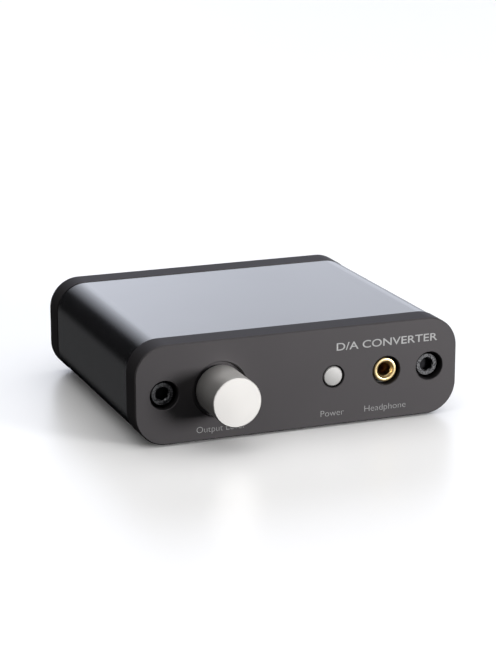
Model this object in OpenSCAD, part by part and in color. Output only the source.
// Desktop digital-to-analogue converter with a headphone output.
// A metal sleeve closed by two thick end panels holds one circuit board.
// Millimetres, +Z up, front towards -Y. The origin is on the table, under the middle of the whole unit.

/* [Case] */
// Width of the end panels
case_w = 89; // [86:0.5:96]
// Height of the end panels
case_h = 26.2; // [25.6:0.1:28]
// Depth over both end panels
case_d = 76; // [75:1:90]
// Thickness of each end panel
panel_t = 7; // [6.5:0.1:7.5]
// Corner radius of the end panels
corner_r = 8.3; // [7.8:0.1:9]
// How far the end panels stand proud of the sleeve, all round
panel_lip = 0.15; // [0.1:0.05:0.8]
// Wall thickness of the sleeve
sleeve_wall = 1.8; // [1.5:0.1:2]
// Chamfer on the outer edge of the end panels
edge_break = 0.3; // [0.2:0.05:0.5]
// Chamfer on the mouths of the holes in the end panels
hole_break = 0.15; // [0.1:0.05:0.3]

/* [Feet] */
// Gap between the end panels and the table
foot_gap = 0.5; // [0.3:0.1:1.5]
// Diameter of each foot
foot_d = 8; // [6:0.5:9]

/* [Volume knob] */
// Distance of the knob's axis from the middle, to the left
knob_x = -21.8; // [-23:0.1:-20]
// Diameter of the knob
knob_d = 12.8; // [12:0.1:13.4]
// How far the knob stands out of the front panel
knob_out = 12.3; // [11:0.1:14]
// Diameter of the recess round the knob
recess_d = 14.6; // [14.2:0.1:15]

/* [Power button] */
// Distance of the button's axis from the middle
button_x = 9.4; // [8:0.1:11]
// Diameter of the button
button_d = 5.3; // [5:0.1:6]
// How far the button travels
button_travel = 1.5; // [1:0.1:1.8]

/* [Headphone socket] */
// Distance of the socket's axis from the middle
jack_x = 24.4; // [23.5:0.1:25]
// Diameter of the gold ferrule
ferrule_d = 6.5; // [6.2:0.1:6.8]
// Diameter of the bore that takes the plug
plug_bore_d = 3.6; // [3.55:0.05:3.7]

/* [Screws] */
// Distance of each screw's axis from the middle
screw_x = 36.75; // [36.5:0.05:37]
// Diameter of the screw heads
screw_head_d = 6.1; // [5.6:0.1:6.4]
// Width of the hexagon socket, across its flats
hex_af = 3.2; // [2.5:0.1:3.4]

/* [Rear sockets] */
// Distance of the left channel's phono socket from the middle
rca_left_x = 24; // [23.5:0.1:24.4]
// Distance of the right channel's phono socket from the middle
rca_right_x = 10; // [9.6:0.1:10.4]
// How far the phono sockets stand out of the rear panel
rca_out = 9.5; // [9:0.1:11]
// Distance of the USB socket from the middle
usb_x = -6; // [-6.4:0.1:-5.8]
// Distance of the optical socket from the middle
optical_x = -23; // [-24:0.1:-22.5]

/* [Circuit board] */
// Thickness of the board
board_t = 1.6; // [1.5:0.1:1.7]
// Height of the controls' axes over the board
axis_over_board = 6; // [6:0.1:6.2]

/* [Hidden] */
$fn = 96;

// Planes along the depth
face_y = knob_out - (knob_out + case_d + rca_out) / 2;  // outer face of the front panel
front_in_y = face_y + panel_t;                          // inner face of the front panel
rear_y = face_y + case_d;                               // outer face of the rear panel
rear_in_y = rear_y - panel_t;                           // inner face of the rear panel
rca_tip_y = rear_y + rca_out;

// Heights
axis_z = foot_gap + case_h / 2;      // axis of every control, and middle of the case
board_top = axis_z - axis_over_board;
board_bottom = board_top - board_t;
sleeve_w = case_w - 2 * panel_lip;
sleeve_h = case_h - 2 * panel_lip;
sleeve_r = corner_r - panel_lip;
sleeve_bottom = foot_gap + panel_lip;

// Screws
screw_head_h = 3.4;
screw_recess = 1.6;                  // from the panel's face to the top of the head
screw_seat = screw_recess + screw_head_h;
screw_bevel = 0.2;
hex_r = hex_af / 2 / cos(30);        // to the corners of the hexagon
hex_depth = 2;
hex_mouth = 0.1;                     // the bevel at its mouth is this much wider than its corners
shank_r = 1.55;
shank_l = 12;
counterbore_r = 3.8;
boss_r = 3.4;

// Feet, from the middle and in from the end panels
foot_x = 30;
foot_inset = 7;

// Board and its slots in the sleeve
board_w = 82;
board_end_gap = 0.5;
ledge = 1.1;
ledge_x = 39.8;

// Volume control
knob_r = knob_d / 2;
knob_break = 0.18;                   // chamfer on both ends of the knob
knob_sink = 0.5;                     // how far the knob's base sits in its recess
recess_depth = 1;
insert_r = 4.6;
insert_depth = 9;
shaft_r = 3;
shaft_flat = 1.5;                    // from the shaft's axis to its flat
shaft_in_knob = 8;
pot_w = 12;
pot_y = front_in_y + 1;              // front of the potentiometer
pot_depth = 9;
pot_cavity_r = 5.2;
bushing_r = 3.6;
bushing_sink = 3.4;                  // from the front panel's face to the bushing's nose
rotor_y = pot_y + 1.6;
rotor_t = 1.4;
rotor_hub_r = 1.8;
rotor_r = 4.8;
wiper_size = [1, 2];
wiper_out = 3.3;                     // from the shaft's axis to the middle of each wiper
track_y = pot_y + 3.6;
track_t = 1;
track_hole_r = 1.5;

// Power switch
button_hole_r = button_d / 2 + 0.35;
button_sink = 0.1;                   // the button's crown is this far below the panel's face
button_flange_y = front_in_y + 0.1;
button_flange_out = 1.1;
button_flange_t = 1;
button_crown = 0.12;
plunger_size = [2.5, 3];
plunger_head = 4.3;
plunger_in_button = 2.9;
switch_y = front_in_y + 3.5;
switch_w = 8;
switch_l = 9;
switch_base_t = 1.5;
switch_top = axis_z + 4.5;
spring_r = 1.4;
spring_wire_r = 0.2;

// Headphone socket
ferrule_r = ferrule_d / 2;
ferrule_y = face_y + 0.8;
ferrule_end_y = face_y + 9;
plug_r = plug_bore_d / 2;
plug_mouth = 0.6;                    // chamfer at the mouth of the ferrule
plug_end_y = face_y + 16.5;
nose_r = 3.75;
nose_y = face_y + 2.4;
jack_hole_r = 3.9;
jack_y = front_in_y + 0.8;
jack_l = 12;
jack_w = 11;
jack_top = axis_z + 4.4;
contact_w = 1;
contact_l = 5;

// Phono sockets
rca_r = 4.15;
rca_base_r = 4.4;
rca_core_r = 3.3;
rca_pin_r = 1.6;
rca_contact_r = 1.95;
rca_nose_r = 4.9;
rca_hole_r = 5;
cutout_gap = 0.2;                    // round each socket in the rear panel
rca_nose_y = rear_y + 0.3;
rca_housing_y = rear_in_y - 13;
rca_top = axis_z + 6.5;
rca_seat_y = rear_in_y - 4;
rca_core_y = rear_in_y - 9;
rca_contact_y = rear_y - 3;
rca_tail_y = rear_in_y - 10.5;
rca_tail_r = 0.5;
rca_housing_side = 6;                // from each socket's axis to the housing's side

// USB socket
usb_size = [12, 11];
usb_shell_t = 0.4;
usb_corner_r = 0.9;
usb_mouth_y = rear_y - 0.2;
usb_shell_y = rear_y - 12;
usb_back_y = rear_y - 15.5;
usb_z = board_top + usb_size[1] / 2;
usb_opening = [8.5, 7.8];
usb_opening_chamfer = 1.4;
usb_depth = 9.5;
usb_tongue = [5.6, 3.2];
usb_tongue_short = 0.9;
usb_tab_y = usb_shell_y + 3;
usb_tab_w = 2;
usb_contact = [1, 0.2];
usb_contact_x = 1.25;                // from the socket's axis to each row of contacts

// Optical socket
optical_w = 11.2;
optical_top = axis_z + 6.4;
optical_mouth_y = rear_y - 0.4;
optical_back_y = rear_y - 15.5;
optical_cavity = 8.6;
optical_cavity_y = rear_y - 11.2;    // deep enough for the shutter to swing through
optical_cavity_z = board_top + 1.3;
optical_z = optical_cavity_z + optical_cavity / 2;
optical_recess_top = optical_cavity_z + optical_cavity + 1.4;
optical_ferrule_r = 1.6;
optical_ferrule_y = rear_y - 14;
hinge_y = rear_y - 1.5;
hinge_z = optical_cavity_z + optical_cavity + 0.7;
hinge_pin_r = 0.35;
hinge_knuckle_r = 0.65;
shutter_w = 8.4;
hinge_pin_l = shutter_w + 1.8;
shutter_t = 0.9;
shutter_drop = 9.1;                  // from the hinge to the shutter's lower edge
knuckle_gap = 3.2;                   // room for the spring between the two knuckles
shutter_spring_r = 0.52;
shutter_wire_r = 0.1;

// Components on the board, as [x, y] or [x, y, radius, height]
mid_y = face_y + case_d / 2;
big_caps = [
    [-29.6, mid_y - 8, 3.15, 11], [-29.6, mid_y, 3.15, 11], [-29.6, mid_y + 8, 3.15, 11],
    [3, mid_y + 10, 2.5, 7], [22, mid_y - 11, 3.15, 11], [29.5, mid_y - 11, 3.15, 11]
];
crystal_at = [-19.4, mid_y + 6];
usb_chip_at = [-8, mid_y + 4];
dac_chip_at = [9, mid_y - 1];
opamp_at = [[23, mid_y + 5], [23, mid_y - 4]];
regulator_at = [-16.5, mid_y - 6];
inductor_at = [-23.2, mid_y - 1];

// Leads through the board, as [x, y]
lead_r = 0.4;
lead_hole_r = 0.5;
lead_below = 1.2;
pot_leads = [for (dx = [-5, 0, 5], dy = [3, 7]) [knob_x + dx, pot_y + dy]];
switch_leads = [for (dx = [-2, 2], dy = [3, 5.5, 8]) [button_x + dx, switch_y + dy]];
optical_leads = [for (dx = [-2.54, 0, 2.54]) [optical_x + dx, optical_back_y + 1.5]];
usb_leads = [for (dx = [-usb_contact_x, usb_contact_x], dy = [0.8, 2.8]) [usb_x + dx, usb_back_y + dy]];
cap_leads = [for (c = big_caps, dx = [-1.25, 1.25]) [c[0] + dx, c[1]]];
crystal_leads = [for (dx = [-2.45, 2.45]) [crystal_at[0] + dx, crystal_at[1]]];

// ---- Shapes that repeat ----

// A round bar along Y, from y0 to y1
module rod(r, y0, y1, x, z = axis_z) {
    facing_y(x, y0, z) cylinder(r = r, h = y1 - y0);
}

// The low and high value of a width about its middle
function span(middle, width) = [middle - width / 2, middle + width / 2];

// A box from its low and high value on each axis
module box(x, y, z) {
    translate([x[0], y[0], z[0]]) cube([x[1] - x[0], y[1] - y[0], z[1] - z[0]]);
}

// Stands children, which lie on the XY plane, up along +Y from the point [x, y]
module facing_y(x, y, z = axis_z) {
    translate([x, y, z]) rotate([-90, 0, 0]) children();
}

// A box along Y, centred on [x, z]
module bar(size, y0, y1, x, z = axis_z) {
    box(span(x, size[0]), [y0, y1], span(z, size[1]));
}

// Extrudes an XZ outline along Y, from y0 to y1
module along_y(y0, y1) {
    translate([0, y1, 0]) rotate([90, 0, 0]) linear_extrude(y1 - y0) children();
}

module rounded_rect(w, h, r) {
    square([w - 2 * r, h], center = true);
    square([w, h - 2 * r], center = true);
    for (sx = [-1, 1], sy = [-1, 1]) translate([sx * (w / 2 - r), sy * (h / 2 - r)]) circle(r);
}

// Leads down through the board from the underside of a component
module leads(at) {
    for (p = at) translate([p[0], p[1], board_bottom - lead_below])
        cylinder(r = lead_r, h = board_t + lead_below);
}

// The ring of a sweep: a small polygon round a point, square to the direction of travel
function unit(v) = v / norm(v);
function ring_at(p, along, side, r, n) =
    let (u = unit(cross(along, side)), v = unit(cross(u, along)))
    [for (k = [0:n - 1]) p + r * (cos(360 * k / n) * u + sin(360 * k / n) * v)];

// A wire of radius r swept along a path, side being any direction the path never takes
module wire(path, r, side, n = 6) {
    last = len(path) - 1;
    points = [for (i = [0:last])
        each ring_at(path[i], path[min(i + 1, last)] - path[max(i - 1, 0)], side, r, n)];
    sides = [for (i = [0:last - 1], k = [0:n - 1])
        let (a = i * n + k, b = i * n + (k + 1) % n) each [[a, b, b + n], [a, b + n, a + n]]];
    ends = [[for (k = [n - 1:-1:0]) k], [for (k = [0:n - 1]) last * n + k]];
    polyhedron(points, concat(sides, ends));
}

// ---- Case ----

// End panel lying on its outer face: a rounded plate with a chamfered outer edge
module panel_blank() {
    c = edge_break;
    core_w = case_w - 2 * corner_r;
    core_h = case_h - 2 * corner_r;
    translate([0, 0, c]) linear_extrude(panel_t - c) rounded_rect(case_w, case_h, corner_r);
    for (sx = [-1, 1], sy = [-1, 1]) translate([sx * core_w / 2, sy * core_h / 2, 0])
        cylinder(r1 = corner_r - c, r2 = corner_r, h = c);
    rotate([90, 0, 0]) linear_extrude(core_h, center = true) chamfered_strip(case_w);
    rotate([90, 0, 90]) linear_extrude(core_w, center = true) chamfered_strip(case_h);
}

module chamfered_strip(w) {
    c = edge_break;
    polygon([[c - w / 2, 0], [w / 2 - c, 0], [w / 2, c], [-w / 2, c]]);
}

// A hole's mouth with its chamfer, which opens downwards through the XY plane
module hole_mouth(r) {
    over = 0.5;
    translate([0, 0, -over]) cylinder(r1 = r + hole_break + over, r2 = r, h = hole_break + over);
}

module screw_holes(face, into) {
    for (s = [-1, 1]) translate([s * screw_x, face, axis_z]) rotate([into * -90, 0, 0]) {
        hole_mouth(counterbore_r);
        translate([0, 0, -1]) cylinder(r = counterbore_r, h = screw_seat + 1);
        cylinder(r = shank_r + 0.25, h = panel_t + 1);
    }
}

module front_panel() {
    color([0.29, 0.28, 0.28]) difference() {
        translate([0, face_y, axis_z]) rotate([-90, 0, 0]) panel_blank();
        screw_holes(face_y, 1);
        rod(recess_d / 2, face_y - 1, face_y + recess_depth, knob_x);
        rod(shaft_r + 1, face_y, front_in_y + 1, knob_x);
        rod(button_hole_r, face_y - 1, front_in_y + 1, button_x);
        rod(jack_hole_r, face_y - 1, front_in_y + 1, jack_x);
        facing_y(knob_x, face_y) hole_mouth(recess_d / 2);
        facing_y(button_x, face_y) hole_mouth(button_hole_r);
        facing_y(jack_x, face_y) hole_mouth(jack_hole_r);
    }
}

module rear_panel() {
    color([0.2, 0.2, 0.21]) difference() {
        translate([0, rear_y, axis_z]) rotate([90, 0, 0]) panel_blank();
        screw_holes(rear_y, -1);
        for (x = [rca_left_x, rca_right_x]) rod(rca_hole_r, rear_in_y - 1, rear_y + 1, x);
        bar(usb_size + [2, 2] * cutout_gap, rear_in_y - 1, rear_y + 1, usb_x, usb_z);
        box(span(optical_x, optical_w + 2 * cutout_gap), [rear_in_y - 1, rear_y + 1],
            [board_top - cutout_gap, optical_top + cutout_gap]);
    }
}

// Extruded tube with screw bosses half way up each side, and a pair of ledges that hold the board
module sleeve_section() {
    inner_w = sleeve_w - 2 * sleeve_wall;
    wall_mid = (sleeve_w - sleeve_wall) / 2;
    difference() {
        union() {
            translate([0, axis_z]) difference() {
                rounded_rect(sleeve_w, sleeve_h, sleeve_r);
                rounded_rect(inner_w, sleeve_h - 2 * sleeve_wall, sleeve_r - sleeve_wall);
            }
            for (s = [0, 1]) mirror([s, 0]) {
                translate([screw_x, axis_z]) circle(boss_r);
                translate([screw_x, axis_z - 2]) square([wall_mid - screw_x, 4]);
                translate([ledge_x, board_bottom - ledge]) square([wall_mid - ledge_x - 0.5, ledge]);
                translate([ledge_x, board_top + 0.15]) square([wall_mid - ledge_x, ledge]);
            }
        }
        for (s = [-1, 1]) translate([s * screw_x, axis_z]) circle(shank_r + 0.05);
    }
}

module sleeve() {
    color([0.16, 0.16, 0.17]) along_y(front_in_y, rear_in_y) sleeve_section();
}

// Socket-head cap screw, standing on the top of its head, with a knurled rim
module cap_screw() {
    teeth = 36;
    r = screw_head_d / 2;
    rim = [for (i = [0:2 * teeth - 1]) (r - (i % 2) * 0.14) * [cos(180 * i / teeth), sin(180 * i / teeth)]];
    difference() {
        union() {
            intersection() {
                linear_extrude(screw_head_h) polygon(rim);
                cylinder(r1 = r - screw_bevel, r2 = r + screw_head_h - screw_bevel, h = screw_head_h);
            }
            translate([0, 0, screw_head_h]) cylinder(r = shank_r, h = shank_l);
        }
        translate([0, 0, -1]) rotate(30) cylinder(r = hex_r, h = hex_depth + 1, $fn = 6);
        translate([0, 0, -0.5]) cylinder(r1 = hex_r + hex_mouth + 0.5, r2 = hex_r + hex_mouth - 0.4, h = 0.9);
    }
}

module front_screws() {
    color([0.12, 0.12, 0.13])
        for (s = [-1, 1]) facing_y(s * screw_x, face_y + screw_recess) cap_screw();
}

module rear_screws() {
    color([0.12, 0.12, 0.13])
        for (s = [-1, 1]) translate([s * screw_x, rear_y - screw_recess, axis_z])
            rotate([90, 0, 0]) cap_screw();
}

module rubber_feet() {
    r = foot_d / 2;
    h = sleeve_bottom;
    color([0.08, 0.08, 0.08])
        for (x = [-foot_x, foot_x], y = [front_in_y + foot_inset, rear_in_y - foot_inset])
            translate([x, y, 0]) rotate_extrude() polygon([[0, 0], [r - 0.4, 0], [r, 0.4], [r, h], [0, h]]);
}

// ---- Circuit board ----

module main_board() {
    color([0.05, 0.2, 0.12]) difference() {
        box(span(0, board_w), [front_in_y + board_end_gap, rear_in_y - board_end_gap],
            [board_bottom, board_top]);
        for (p = concat(pot_leads, switch_leads, optical_leads, usb_leads, cap_leads, crystal_leads))
            translate([p[0], p[1], board_bottom - 1]) cylinder(r = lead_hole_r, h = board_t + 2);
        for (x = [rca_left_x, rca_right_x])
            box(span(x, 1.2), span(rca_tail_y, 1.2), [board_bottom - 1, board_top + 1]);
        for (s = [-1, 1]) {
            jack_contact(s, 0.1);
            usb_tab(s, 0.1);
        }
    }
}

// ---- Volume control ----

module volume_knob() {
    l = knob_out + knob_sink;
    color([0.85, 0.84, 0.82]) facing_y(knob_x, face_y - knob_out)
        rotate_extrude() polygon([
            [0, 0], [knob_r - knob_break, 0], [knob_r, knob_break], [knob_r, l - knob_break],
            [knob_r - knob_break, l],
            [insert_r, l], [insert_r, l - insert_depth], [0, l - insert_depth]
        ]);
}

// The flatted end of the shaft, which fills the socket in the knob's insert
module shaft_end() {
    translate([knob_x, face_y + knob_sink, axis_z]) rotate([90, 0, 0])
        linear_extrude(shaft_in_knob + knob_sink) difference() {
            circle(shaft_r);
            translate([-shaft_r, shaft_flat]) square([2 * shaft_r, shaft_r]);
        }
}

module knob_insert() {
    base_y = face_y + knob_sink;
    color([0.15, 0.15, 0.15]) difference() {
        rod(insert_r, base_y - insert_depth, base_y - 0.2, knob_x);
        shaft_end();
    }
}

module pot_shaft() {
    color([0.72, 0.72, 0.74]) {
        shaft_end();
        rod(shaft_r, face_y + knob_sink, rotor_y, knob_x);
        rod(rotor_hub_r, rotor_y, rotor_y + rotor_t, knob_x);
    }
}

module pot_rotor() {
    color([0.9, 0.88, 0.8]) difference() {
        rod(rotor_r, rotor_y, rotor_y + rotor_t, knob_x);
        rod(rotor_hub_r, rotor_y - 1, rotor_y + rotor_t + 1, knob_x);
    }
}

module pot_wipers() {
    color([0.8, 0.65, 0.3])
        for (s = [-1, 1])
            bar(wiper_size, rotor_y + rotor_t, track_y - 0.05, knob_x, axis_z + s * wiper_out);
}

module pot_track() {
    color([0.25, 0.2, 0.18]) difference() {
        rod(pot_cavity_r, track_y, track_y + track_t, knob_x);
        rod(track_hole_r, track_y - 1, track_y + track_t + 1, knob_x);
    }
}

module pot_housing() {
    color([0.18, 0.18, 0.18]) difference() {
        box(span(knob_x, pot_w), [pot_y + 1, pot_y + pot_depth], [board_top, board_top + pot_w]);
        rod(pot_cavity_r, pot_y, track_y + track_t, knob_x);
    }
}

// Metal front plate of the potentiometer, with the bearing that the shaft turns in
module pot_bushing() {
    color([0.7, 0.7, 0.72]) difference() {
        union() {
            box(span(knob_x, pot_w), [pot_y, pot_y + 1], [board_top, board_top + pot_w]);
            rod(bushing_r, face_y + bushing_sink, pot_y, knob_x);
        }
        rod(shaft_r + 0.05, face_y, pot_y + 2, knob_x);
    }
}

module pot_terminals() {
    color([0.75, 0.75, 0.72]) leads(pot_leads);
}

// ---- Power switch ----

// Turned cap with a low crown, and a flange that keeps it behind the front panel
module power_button() {
    r = button_d / 2;
    flange_z = button_flange_y - face_y - button_sink;
    arc = [for (i = [0:6]) [(r - 0.25) * i / 6, button_crown * (i / 6) * (i / 6)]];
    flange_r = r + button_flange_out;
    end_z = flange_z + button_flange_t;
    rim = [[r, button_crown + 0.25], [r, flange_z], [flange_r, flange_z], [flange_r, end_z], [0, end_z]];
    color([0.8, 0.8, 0.79]) difference() {
        facing_y(button_x, face_y + button_sink) rotate_extrude() polygon(concat(arc, rim));
        bar(plunger_size, button_flange_y + button_flange_t - plunger_in_button,
            button_flange_y + button_flange_t + 1, button_x);
    }
}

module switch_plunger() {
    head_y = switch_y + 1.1;
    color([0.92, 0.92, 0.9]) {
        bar(plunger_size, button_flange_y + button_flange_t - plunger_in_button, head_y, button_x);
        bar([plunger_head, plunger_head], head_y, head_y + 1.5, button_x);
    }
}

module switch_spring() {
    y0 = switch_y + 2.6 + spring_wire_r;
    y1 = switch_y + switch_l - spring_wire_r;
    turns = 5;
    steps = 10 * turns;
    path = [for (i = [0:steps])
        [button_x + spring_r * cos(360 * turns * i / steps), y0 + (y1 - y0) * i / steps,
         axis_z + spring_r * sin(360 * turns * i / steps)]];
    color([0.7, 0.7, 0.72]) wire(path, spring_wire_r, [0, 1, 0]);
}

module switch_body() {
    color([0.12, 0.12, 0.12]) difference() {
        box(span(button_x, switch_w), [switch_y, switch_y + switch_l], [board_top, switch_top]);
        bar(plunger_size + [0.2, 0.2], switch_y - 1, switch_y + 2, button_x);
        bar([plunger_head + 0.3, plunger_head + 0.3], switch_y + 1, switch_y + switch_l + 1, button_x);
    }
}

module switch_base() {
    color([0.7, 0.62, 0.45])
        box(span(button_x, switch_w), [switch_y + switch_l, switch_y + switch_l + switch_base_t],
            [board_top, switch_top]);
}

module switch_terminals() {
    color([0.75, 0.75, 0.72]) leads(switch_leads);
}

// ---- Headphone socket ----

module headphone_ferrule() {
    l = ferrule_end_y - ferrule_y;
    color([0.9, 0.72, 0.35]) facing_y(jack_x, ferrule_y) rotate_extrude() polygon([
        [plug_r + plug_mouth, 0], [ferrule_r - 0.25, 0], [ferrule_r, 0.25], [ferrule_r, l], [plug_r, l],
        [plug_r, plug_mouth]
    ]);
}

// Flat contact beside the plug, with a leg down through the board. grow widens it, to cut its slot
module jack_contact(side, grow = 0) {
    x = span(jack_x + side * (plug_r + 0.2), 0.3 + 2 * grow);
    y1 = plug_end_y - 1;
    box(x, [y1 - contact_l, y1], span(axis_z, contact_w));
    box(x, [y1 - contact_w - grow, y1 + grow], [board_bottom - 1, axis_z]);
}

module headphone_contacts() {
    color([0.85, 0.68, 0.35]) for (s = [-1, 1]) jack_contact(s);
}

module headphone_housing() {
    color([0.08, 0.08, 0.08]) difference() {
        union() {
            box(span(jack_x, jack_w), [jack_y, jack_y + jack_l], [board_top, jack_top]);
            rod(nose_r, nose_y, jack_y, jack_x);
        }
        rod(ferrule_r, nose_y - 1, ferrule_end_y, jack_x);
        rod(plug_r, ferrule_end_y - 1, plug_end_y, jack_x);
        bar([2 * plug_r + 0.1, contact_w], plug_end_y - 1 - contact_l, plug_end_y - 1, jack_x);
        for (s = [-1, 1]) jack_contact(s);
    }
}

// ---- Phono sockets ----

// Square lead of a centre contact, from the height z0 up to the contact
module rca_tail(x, z0) {
    box(span(x, 2 * rca_tail_r), span(rca_tail_y, 2 * rca_tail_r), [z0, axis_z + rca_tail_r]);
}

module rca_housing() {
    color([0.07, 0.07, 0.07]) difference() {
        union() {
            box([rca_right_x - rca_housing_side, rca_left_x + rca_housing_side],
                [rca_housing_y, rear_in_y - 0.2], [board_top, rca_top]);
            for (x = [rca_left_x, rca_right_x]) rod(rca_nose_r, rear_in_y - 0.2, rca_nose_y, x);
        }
        for (x = [rca_left_x, rca_right_x]) {
            rod(rca_base_r, rca_seat_y, rca_nose_y + 1, x);
            rod(rca_core_r, rca_core_y, rca_seat_y + 1, x);
            rod(rca_tail_r, rca_tail_y, rca_core_y + 1, x);
            rca_tail(x, board_top - 1);
        }
    }
}

module rca_barrel(x) {
    color([0.88, 0.7, 0.36]) difference() {
        union() {
            rod(rca_base_r, rca_seat_y, rca_nose_y, x);
            rod(rca_r, rca_nose_y, rca_tip_y - 0.3, x);
            facing_y(x, rca_tip_y - 0.3) cylinder(r1 = rca_r, r2 = rca_r - 0.3, h = 0.3);
        }
        rod(rca_core_r, rca_seat_y - 1, rca_tip_y + 1, x);
    }
}

module rca_core(x, colour) {
    color(colour) difference() {
        rod(rca_core_r, rca_core_y, rca_tip_y - 0.6, x);
        rod(rca_contact_r, rca_contact_y, rca_tip_y, x);
        rod(rca_tail_r, rca_core_y - 1, rca_contact_y + 1, x);
    }
}

module rca_contact(x) {
    color([0.88, 0.7, 0.36]) {
        difference() {
            rod(rca_contact_r, rca_contact_y, rca_tip_y - 0.8, x);
            rod(rca_pin_r, rca_contact_y + 0.5, rca_tip_y, x);
        }
        rod(rca_tail_r, rca_tail_y, rca_contact_y, x);
        rca_tail(x, board_bottom - 1);
    }
}

// ---- USB socket ----

module usb_tab(side, grow = 0) {
    x = span(usb_x + side * (usb_size[0] - usb_shell_t) / 2, usb_shell_t + 2 * grow);
    box(x, span(usb_tab_y, usb_tab_w + 2 * grow), [board_bottom - 1, board_top + grow]);
}

// Outline of the shell, drawn in by the given amount all round
module usb_outline(inset) {
    translate([usb_x, usb_z])
        rounded_rect(usb_size[0] - 2 * inset, usb_size[1] - 2 * inset, usb_corner_r - inset);
}

module usb_shell() {
    color([0.78, 0.78, 0.8]) {
        along_y(usb_shell_y, usb_mouth_y) difference() {
            usb_outline(0);
            usb_outline(usb_shell_t);
        }
        for (s = [-1, 1]) usb_tab(s);
    }
}

// Outline of the opening, with its two upper corners cut off
module usb_opening_outline() {
    w = usb_opening[0] / 2;
    h = usb_opening[1] / 2;
    c = usb_opening_chamfer;
    translate([usb_x, usb_z]) polygon([[-w, -h], [w, -h], [w, h - c], [w - c, h], [c - w, h], [-w, h - c]]);
}

module usb_insulator() {
    color([0.9, 0.9, 0.88]) {
        difference() {
            union() {
                along_y(usb_back_y, usb_mouth_y - 0.2) usb_outline(usb_shell_t);
                box(span(usb_x, 8), [usb_back_y, usb_shell_y - 0.1], [board_top, usb_z]);
            }
            along_y(usb_mouth_y - usb_depth, usb_mouth_y + 1) usb_opening_outline();
        }
        bar(usb_tongue, usb_mouth_y - usb_depth - 0.5, usb_mouth_y - usb_tongue_short, usb_x, usb_z);
    }
}

module usb_contacts() {
    color([0.88, 0.7, 0.36]) {
        for (dx = [-usb_contact_x, usb_contact_x], s = [-1, 1])
            bar(usb_contact, usb_mouth_y - usb_depth, usb_mouth_y - usb_tongue_short - 0.6, usb_x + dx,
                usb_z + s * (usb_tongue[1] + usb_contact[1]) / 2);
        leads(usb_leads);
    }
}

// ---- Optical socket ----

module optical_housing() {
    cavity_x = span(optical_x, optical_cavity);
    cavity_top = optical_cavity_z + optical_cavity;
    recess_y = [hinge_y - shutter_drop - 0.5, optical_mouth_y - 0.4];
    color([0.06, 0.06, 0.06]) difference() {
        box(span(optical_x, optical_w), [optical_back_y, optical_mouth_y], [board_top, optical_top]);
        box(cavity_x, [optical_cavity_y, optical_mouth_y + 1], [optical_cavity_z, cavity_top]);
        box(cavity_x, recess_y, [cavity_top - 1, optical_recess_top]);
        rod(optical_ferrule_r, optical_ferrule_y, optical_cavity_y + 1, optical_x, optical_z);
        hinge_axle(hinge_pin_r, hinge_pin_l);
    }
}

// A round bar on the shutter's hinge line
module hinge_axle(r, l) {
    translate([optical_x, hinge_y, hinge_z]) rotate([0, 90, 0]) cylinder(r = r, h = l, center = true);
}

// Flap that closes the mouth and swings in when a plug arrives
module optical_shutter() {
    leaf_y = hinge_y - 0.4;
    color([0.1, 0.1, 0.1]) difference() {
        union() {
            box(span(optical_x, shutter_w), [leaf_y, leaf_y + shutter_t], [hinge_z - shutter_drop, hinge_z]);
            hinge_axle(hinge_knuckle_r, shutter_w);
        }
        hinge_axle(hinge_pin_r + 0.05, hinge_pin_l);
        box(span(optical_x, knuckle_gap), span(hinge_y, 4), [hinge_z - 1.4, hinge_z + 1.6]);
    }
}

module shutter_pin() {
    color([0.7, 0.7, 0.72]) hinge_axle(hinge_pin_r, hinge_pin_l);
}

// Torsion spring: a short tail in front, three turns round the pin, then one leg down the back of the flap
module shutter_spring() {
    turns = 3.25;
    steps = 39;
    half = knuckle_gap / 2 - 0.4;
    coil = [for (i = [0:steps])
        [optical_x - half + 2 * half * i / steps,
         hinge_y - shutter_spring_r * sin(360 * turns * i / steps),
         hinge_z + shutter_spring_r * cos(360 * turns * i / steps)]];
    tail = [[optical_x - half, hinge_y + 0.6, hinge_z + shutter_spring_r]];
    leg = [[optical_x + half, hinge_y - shutter_spring_r, hinge_z - 4]];
    color([0.7, 0.7, 0.72]) wire(concat(tail, coil, leg), shutter_wire_r, [1, 0, 0]);
}

module optical_sensor() {
    color([0.2, 0.05, 0.08])
        rod(optical_ferrule_r, optical_ferrule_y, optical_ferrule_y + 0.8, optical_x, optical_z);
}

module optical_pins() {
    color([0.75, 0.75, 0.72]) leads(optical_leads);
}

// ---- Components on the board ----

// Flat package with rows of gull-wing leads: along its front and back, or along all four sides
module chip(at, size, height, per_side, pitch, four_sides) {
    reach = 1;
    translate([at[0], at[1], board_top]) {
        translate([-size[0] / 2, -size[1] / 2, 0.1]) cube([size[0], size[1], height]);
        for (turn = four_sides ? [0:90:270] : [0, 180]) rotate(turn) for (i = [0:per_side - 1])
            translate([(i - (per_side - 1) / 2) * pitch - pitch / 4, size[1] / 2 - 0.2, 0])
                cube([pitch / 2, reach + 0.2, 0.25]);
    }
}

module usb_chip() {
    color([0.1, 0.1, 0.1]) chip(usb_chip_at, [7, 7], 1, 12, 0.5, true);
}

module dac_chip() {
    color([0.1, 0.1, 0.1]) chip(dac_chip_at, [10, 5.3], 1.6, 14, 0.65, false);
}

module opamp_chips() {
    color([0.1, 0.1, 0.1]) for (p = opamp_at) chip(p, [4.9, 3.9], 1.5, 4, 1.27, false);
}

module regulator_chip() {
    color([0.1, 0.1, 0.1]) chip(regulator_at, [6.5, 3.5], 1.6, 3, 2.3, false);
}

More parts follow.
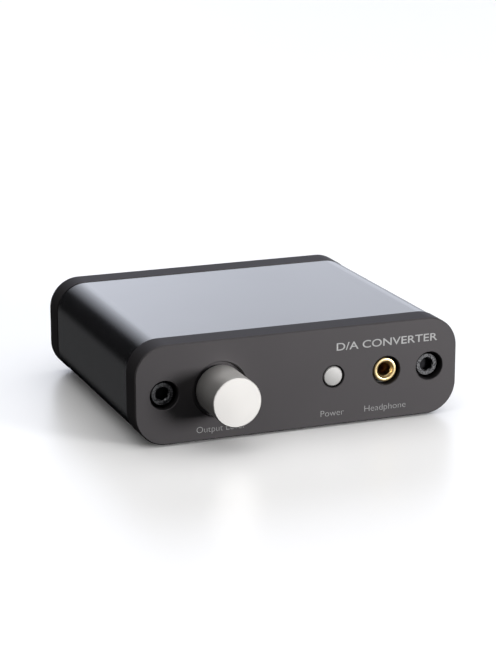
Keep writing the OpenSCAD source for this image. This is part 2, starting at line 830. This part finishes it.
// Quartz crystal in its long, round-ended can
module clock_crystal() {
    l = 11;
    w = 4.6;
    color([0.8, 0.8, 0.8]) {
        translate([crystal_at[0], crystal_at[1], board_top]) {
            linear_extrude(0.5) round_ended(l + 0.6, w + 0.6);
            linear_extrude(3.5) round_ended(l - 0.6, w - 0.4);
        }
        leads(crystal_leads);
    }
}

// Outline with round ends, from a square and two circles
module round_ended(l, w) {
    square([l - w, w], center = true);
    for (s = [-1, 1]) translate([s * (l - w) / 2, 0]) circle(w / 2);
}

// Upright aluminium cans with the crimp near the base and a shallow dish on top
module electrolytic_caps() {
    color([0.15, 0.17, 0.25]) {
        for (c = big_caps) translate([c[0], c[1], board_top]) rotate_extrude() polygon([
            [0, 0], [c[2], 0], [c[2], 1], [c[2] - 0.35, 1.4], [c[2], 1.8], [c[2], c[3] - 0.4],
            [c[2] - 0.4, c[3]], [c[2] - 0.9, c[3] - 0.2], [0, c[3] - 0.2]
        ]);
        leads(cap_leads);
    }
}

module ferrite_inductor() {
    color([0.2, 0.2, 0.22]) translate([inductor_at[0], inductor_at[1], board_top]) rotate_extrude() polygon([
        [0, 0], [2.6, 0], [2.6, 0.7], [2.1, 0.7], [2.1, 2.3], [2.6, 2.3], [2.6, 3], [0, 3]
    ]);
}

// Small surface-mount parts, in a grid that leaves the larger ones clear
module chip_parts(rows, columns, at, pitch, size) {
    for (i = [0:columns - 1], j = [0:rows - 1])
        box(span(at[0] + i * pitch[0], size[0]), span(at[1] + j * pitch[1], size[1]),
            [board_top, board_top + size[2]]);
}

module chip_resistors() {
    color([0.12, 0.12, 0.12]) {
        chip_parts(2, 5, [-4, mid_y - 12], [2.6, 2.4], [1.6, 0.8, 0.5]);
        chip_parts(2, 3, [28, mid_y + 2], [2, 3], [0.8, 1.6, 0.5]);
    }
}

module chip_capacitors() {
    color([0.7, 0.6, 0.45]) {
        chip_parts(1, 6, [-12, mid_y - 5], [2.6, 2], [1.2, 2, 0.9]);
        chip_parts(3, 1, [16.5, mid_y + 2], [2, 3.4], [1.2, 2, 0.9]);
    }
}

front_panel();
sleeve();
rear_panel();
front_screws();
rear_screws();
rubber_feet();
main_board();
volume_knob();
knob_insert();
pot_shaft();
pot_rotor();
pot_wipers();
pot_track();
pot_housing();
pot_bushing();
pot_terminals();
power_button();
switch_plunger();
switch_spring();
switch_body();
switch_base();
switch_terminals();
headphone_housing();
headphone_ferrule();
headphone_contacts();
rca_housing();
rca_barrel(rca_left_x);  // rca_barrel_left
rca_barrel(rca_right_x);  // rca_barrel_right
rca_core(rca_left_x, [0.92, 0.92, 0.9]);  // rca_core_left
rca_core(rca_right_x, [0.75, 0.08, 0.08]);  // rca_core_right
rca_contact(rca_left_x);  // rca_contact_left
rca_contact(rca_right_x);  // rca_contact_right
usb_shell();
usb_insulator();
usb_contacts();
optical_housing();
optical_shutter();
shutter_pin();
shutter_spring();
optical_sensor();
optical_pins();
usb_chip();
dac_chip();
opamp_chips();
regulator_chip();
clock_crystal();
electrolytic_caps();
ferrite_inductor();
chip_resistors();
chip_capacitors();
